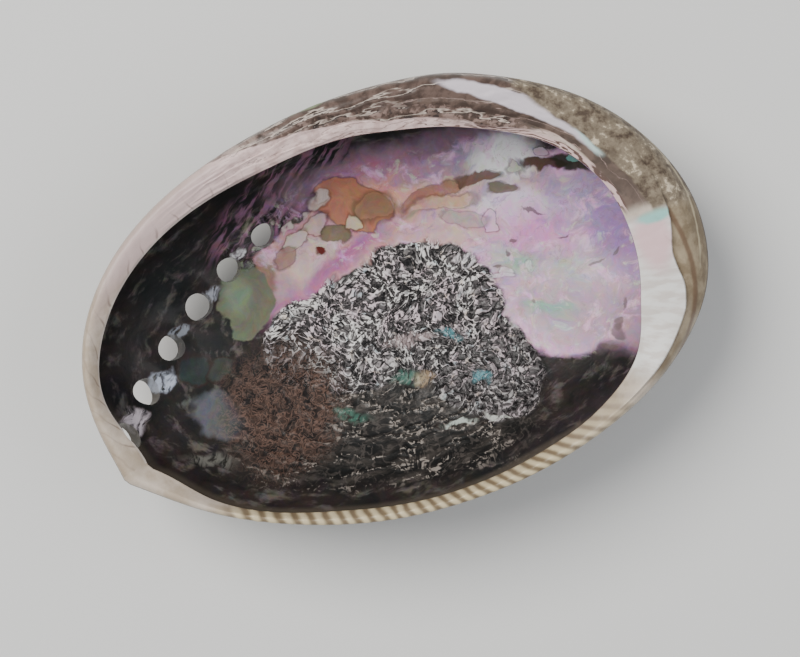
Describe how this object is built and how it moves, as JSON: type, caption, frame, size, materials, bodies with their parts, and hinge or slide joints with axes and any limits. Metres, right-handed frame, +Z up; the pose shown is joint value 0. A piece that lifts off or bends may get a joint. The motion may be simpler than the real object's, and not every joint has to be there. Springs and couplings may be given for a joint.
{
  "type": "abalone shell",
  "caption": "Empty abalone shell lying opening up: ear-shaped mother-of-pearl bowl with a flat inner shelf, a row of open breathing holes and a low spire.",
  "frame": {"origin": "centre of the bounding box, on the surface that the shell rests on", "axes": "+X along the shell to the spire end, +Z up out of the opening, -Y to the outer lip and +Y to the inner lip's shelf"},
  "size_m": [0.1602, 0.1056, 0.0418],
  "materials": {
    "shell": "nacre inside and along the rim, glossy; chalky brown-grey outside"
  },
  "bodies": {
    "root": {"abalone_shell": "shell"}
  },
  "joints": []
}
